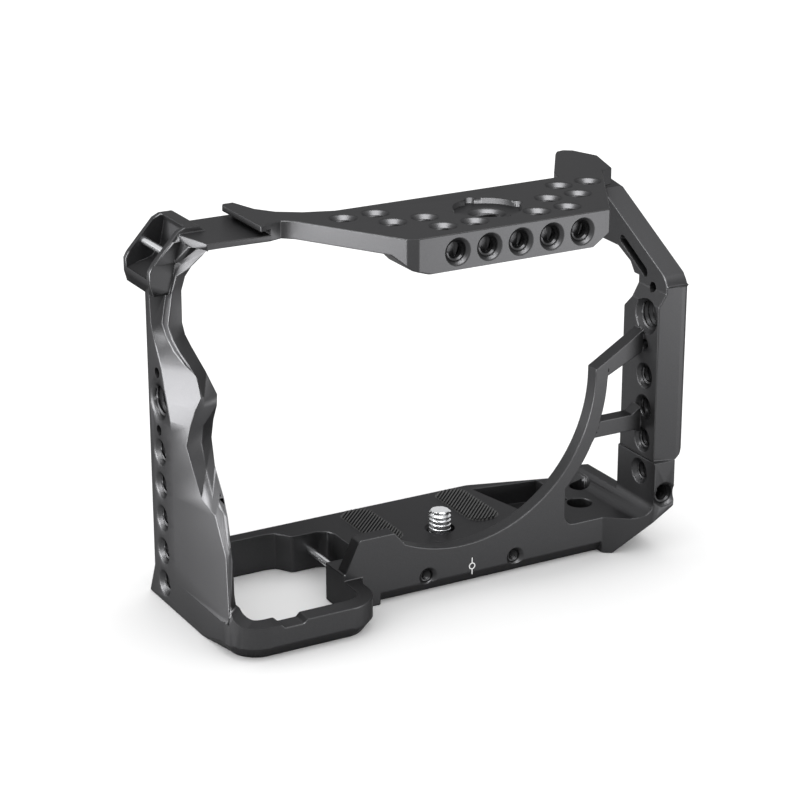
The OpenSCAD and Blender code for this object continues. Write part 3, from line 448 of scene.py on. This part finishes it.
# Flat, dull white, with no sheen of its own.
ink, _ = new_material("printed_white_ink")
finish_material(ink, add_node(
    ink, "ShaderNodeBsdfPrincipled", Base_Color=linear(INK), Roughness=0.6
))
mark = bmesh.new()
for k in range(MARK_STEPS):
    a, b = (2 * math.pi * n / MARK_STEPS for n in (k, k + 1))
    corners = [(r * math.sin(t), r * math.cos(t)) for r, t in (
        (MARK_R, a), (MARK_R, b), (MARK_R - MARK_LINE, b), (MARK_R - MARK_LINE, a))]
    mark.faces.new([mark.verts.new(MARK_SPOT + Vector((x, -MARK_LIFT, z))) for x, z in corners])
for side in (-1, 1):
    low, high = side * MARK_R, side * (MARK_R + MARK_TICK)
    corners = [(-MARK_LINE / 2, low), (MARK_LINE / 2, low), (MARK_LINE / 2, high),
               (-MARK_LINE / 2, high)]
    mark.faces.new([mark.verts.new(MARK_SPOT + Vector((x, -MARK_LIFT, z))) for x, z in corners])
bmesh.ops.remove_doubles(mark, verts=mark.verts, dist=THREAD_WELD)
skin = bmesh.ops.extrude_face_region(mark, geom=list(mark.faces))
bmesh.ops.translate(mark, vec=(0, 2 * MARK_LIFT, 0),
                    verts=[v for v in skin["geom"] if isinstance(v, bmesh.types.BMVert)])
bmesh.ops.recalc_face_normals(mark, faces=mark.faces)
mark = mesh_object("alignment_mark", mark, ink)
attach(mark, "cage")


# Rubber pads. Two black rubber pads are glued into recesses of the base, under the camera. They
# are moulded with fine slanted ribs.
RUBBER, RUBBER_SPECK = "#070708", 0.4 * MM
PAD_SPOTS = ((-9.0, 10.5), (22.0, 10.5))
PAD_HALF = (5.0, 12.2)
PAD_CORNER, PAD_TOP, CORNER_STEPS = 4.0, 11.1, 6
RIB_PITCH, RIB_W, RIB_H, RIBS = 0.95, 0.5, 0.6, 13
RIB_ROUND, RIB_DRAFT, RIB_SEAT = 0.93, 0.1, 0.05
RIB_TURN = math.radians(-45)
# Nearly black and half dull; the ribs catch the light along one flank.
rubber, place = new_material("moulded_black_rubber")
specks = add_node(rubber, "ShaderNodeTexNoise", Vector=place, Scale=1 / RUBBER_SPECK, Detail=2.0)
soft = add_node(rubber, "ShaderNodeBump", Strength=0.3, Distance=BUMP_DEPTH,
                Height=specks.outputs["Fac"])
finish_material(rubber, add_node(
    rubber, "ShaderNodeBsdfPrincipled", Base_Color=linear(RUBBER), Roughness=0.5,
    Normal=soft.outputs[0]
))
for name in ("left_rubber_pad", "right_rubber_pad"):
    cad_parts[name].data.materials.clear()
    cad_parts[name].data.materials.append(rubber)


def rib_strip(centre, shift):
    """The corners and faces of one rib: the pad's outline, cut by two slanted planes, raised."""
    bm = bmesh.new()
    corner = []
    for sx, sy, a0 in ((1, 1, 0), (-1, 1, 90), (-1, -1, 180), (1, -1, 270)):
        for k in range(CORNER_STEPS + 1):
            a = math.radians(a0 + 90 / CORNER_STEPS * k)
            corner.append((
                sx * (PAD_HALF[0] - PAD_CORNER) + PAD_CORNER * RIB_ROUND * math.cos(a),
                sy * (PAD_HALF[1] - PAD_CORNER) + PAD_CORNER * RIB_ROUND * math.sin(a)
            ))
    bm.faces.new([bm.verts.new((x, y, 0)) for x, y in corner])
    across = Vector((math.cos(RIB_TURN), math.sin(RIB_TURN), 0))
    for side in (-1, 1):
        bmesh.ops.bisect_plane(
            bm, geom=bm.verts[:] + bm.edges[:] + bm.faces[:], plane_no=across * side,
            plane_co=across * (shift + side * RIB_W / 2), clear_outer=True
        )
    skin = bmesh.ops.extrude_face_region(bm, geom=bm.faces[:])
    top = [v for v in skin["geom"] if isinstance(v, bmesh.types.BMVert)]
    bmesh.ops.translate(bm, vec=(0, 0, RIB_H), verts=top)
    for v in top:
        v.co -= across * math.copysign(RIB_DRAFT, v.co.dot(across) - shift)
    place = Vector((*centre, PAD_TOP - RIB_SEAT))
    corners = [tuple((place + v.co) * MM) for v in bm.verts]
    bm.verts.index_update()
    faces = [[v.index for v in f.verts] for f in bm.faces]
    bm.free()
    return corners, faces


for name, centre in zip(("left_pad_ribs", "right_pad_ribs"), PAD_SPOTS):
    ribs = bmesh.new()
    for k in range(-RIBS, RIBS + 1):
        corners, faces = rib_strip(centre, k * RIB_PITCH)
        verts = [ribs.verts.new(c) for c in corners]
        for face in faces:
            ribs.faces.new([verts[i] for i in face])
    bmesh.ops.recalc_face_normals(ribs, faces=ribs.faces)
    ribs = mesh_object(name, ribs, rubber)
    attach(ribs, "cage")


# Steel parts. The strap pins, the small screw and the magnets' cases are bright steel, turned and
# pressed in. The clip and the driver are stamped from spring steel and blackened.
STEEL, BLACK_STEEL, TOOL_MARK = "#c9cacc", "#2a2a2b", 0.3 * MM
# A bright mirror, broken a little by the marks of the tool.
steel, place = new_material("turned_stainless_steel")
turned = add_node(steel, "ShaderNodeTexNoise", Vector=place, Scale=1 / TOOL_MARK, Detail=2.0)
finish_material(steel, add_node(
    steel, "ShaderNodeBsdfPrincipled", Base_Color=linear(STEEL), Metallic=1.0,
    Roughness=add_node(steel, "ShaderNodeMapRange", Value=turned.outputs["Fac"],
                       To_Min=0.2, To_Max=0.3).outputs[0]
))
# Dark, with the metal's gleam left under the oxide.
black_steel, _ = new_material("blackened_steel")
finish_material(black_steel, add_node(
    black_steel, "ShaderNodeBsdfPrincipled", Base_Color=linear(BLACK_STEEL), Metallic=0.8,
    Roughness=0.35
))
for name, finish in (
    ("upper_strap_pin", steel), ("lower_strap_pin", steel), ("back_set_screw", steel),
    ("driver_magnets", steel), ("screw_clip", black_steel), ("flat_driver", black_steel),
):
    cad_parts[name].data.materials.clear()
    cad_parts[name].data.materials.append(finish)


# Camera screw. Turned from stainless steel, with a rolled 1/4 inch thread of 20 turns an inch: the
# CAD's plain rod is turned down to the thread's root and the ridge is wound round it.
SCREW_X, SCREW_TOP, THREAD_LOW = 7.0, 16.5, 9.7
ROOT_R, SCREW_RIDGE, SCREW_START = 2.55 * MM, 0.62 * MM, 0.45 * MM
screw = copy_of("camera_screw", "threaded_camera_screw")
screw.data.materials.append(steel)
for vert in screw.data.vertices:
    arm = vert.co.xy - Vector((SCREW_X * MM, 0))
    if vert.co.z > THREAD_LOW * MM - WELD and arm.length > ROOT_R:
        arm *= ROOT_R / arm.length
        vert.co.x, vert.co.y = SCREW_X * MM + arm.x, arm.y
wound = bmesh.new()
add_thread(wound, Vector((SCREW_X, 0, SCREW_TOP)) * MM, UP, radius=ROOT_R, ridge=SCREW_RIDGE,
           pitch=QUARTER["pitch"], start=SCREW_START, end=(SCREW_TOP - THREAD_LOW) * MM)
bmesh.ops.remove_doubles(wound, verts=wound.verts, dist=THREAD_WELD)
bmesh.ops.dissolve_degenerate(wound, edges=wound.edges, dist=THREAD_WELD)
wound = mesh_object("wound_thread", wound, steel)
take(screw)
wound.select_set(True)
bpy.ops.object.join()
bpy.ops.object.shade_smooth_by_angle(angle=EDGE_ANGLE)
apply_modifier(screw, "WEIGHTED_NORMAL", keep_sharp=True, weight=FACE_WEIGHT)
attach(screw, "screw")
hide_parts("camera_screw")


# Studio. The cage stands on a white sweep. Soft panels on the left, in front and above are mirrored
# in its slanted, front and top faces. Two black flags keep its left and right faces dark.
FLOOR_WHITE, FLAG_BLACK = "#fbfbfb", "#050505"
FLOOR_SIZE, FLOOR_DROP = 8, 0.05 * MM
SKY = 1.25
# Plain matt white, so that only the shadow shows on it.
white, _ = new_material("white_floor")
finish_material(white, add_node(white, "ShaderNodeBsdfDiffuse", Color=linear(FLOOR_WHITE)))
bpy.ops.mesh.primitive_plane_add(size=FLOOR_SIZE, location=(0, 0, -FLOOR_DROP))
floor = bpy.context.object
floor.name = "floor"
floor.data.materials.append(white)
floor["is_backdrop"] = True

# The sky is plain white to the eye and in mirrors, and a little stronger as light.
world = bpy.data.worlds.new("studio")
bpy.context.scene.world = world
world.use_nodes = True
world.node_tree.nodes.clear()
paths = add_node(world, "ShaderNodeLightPath")
seen = add_node(world, "ShaderNodeMath", {"operation": "MAXIMUM"},
                _0=paths.outputs["Is Camera Ray"], _1=paths.outputs["Is Glossy Ray"])
seen = add_node(world, "ShaderNodeMath", {"operation": "MAXIMUM"},
                _0=seen.outputs[0], _1=paths.outputs["Is Transmission Ray"])
strength = add_node(world, "ShaderNodeMapRange", Value=seen.outputs[0], To_Min=SKY, To_Max=1.0)
backdrop = add_node(
    world, "ShaderNodeBackground", Color=(1, 1, 1, 1), Strength=strength.outputs[0]
)
add_node(world, "ShaderNodeOutputWorld", Surface=backdrop.outputs[0])

for name, size, power, spot, aim in (
    ("left_panel", (0.30, 0.20), 4.3, (-0.35, 0.09, 0.08), (-0.05, 0.0, 0.05)),
    ("front_panel", (0.16, 0.05), 0.42, (0.165, -0.25, 0.03), (0.03, -0.03, 0.09)),
    ("top_panel", (0.8, 0.8), 30, (-0.15, -0.2, 0.85), (0, 0, 0.05)),
):
    bpy.ops.object.light_add(type="AREA", location=spot)
    lamp = bpy.context.object
    lamp.name = name
    lamp.data.shape = "RECTANGLE"
    lamp.data.size, lamp.data.size_y = size
    lamp.data.energy = power
    lamp.rotation_euler = (Vector(aim) - Vector(spot)).to_track_quat("-Z", "Y").to_euler()
    lamp.visible_camera = lamp.visible_diffuse = False

# Matt black cloth that mirrors nothing.
black, _ = new_material("black_flag")
finish_material(black, add_node(black, "ShaderNodeBsdfDiffuse", Color=linear(FLAG_BLACK)))
for name, corners in (
    ("left_flag", ((-0.19, 0.072, 0), (0.08, 0.20, 0), (0.08, 0.20, 0.10), (-0.19, 0.072, 0.10))),
    ("right_flag", ((0.10, -0.10, 0), (0.28, -0.22, 0), (0.28, -0.22, 0.15), (0.10, -0.10, 0.15))),
):
    flag = bmesh.new()
    flag.faces.new([flag.verts.new(c) for c in corners])
    flag = mesh_object(name, flag, black)
    flag.visible_camera = flag.visible_diffuse = flag.visible_shadow = False
    flag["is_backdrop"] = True

low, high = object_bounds()
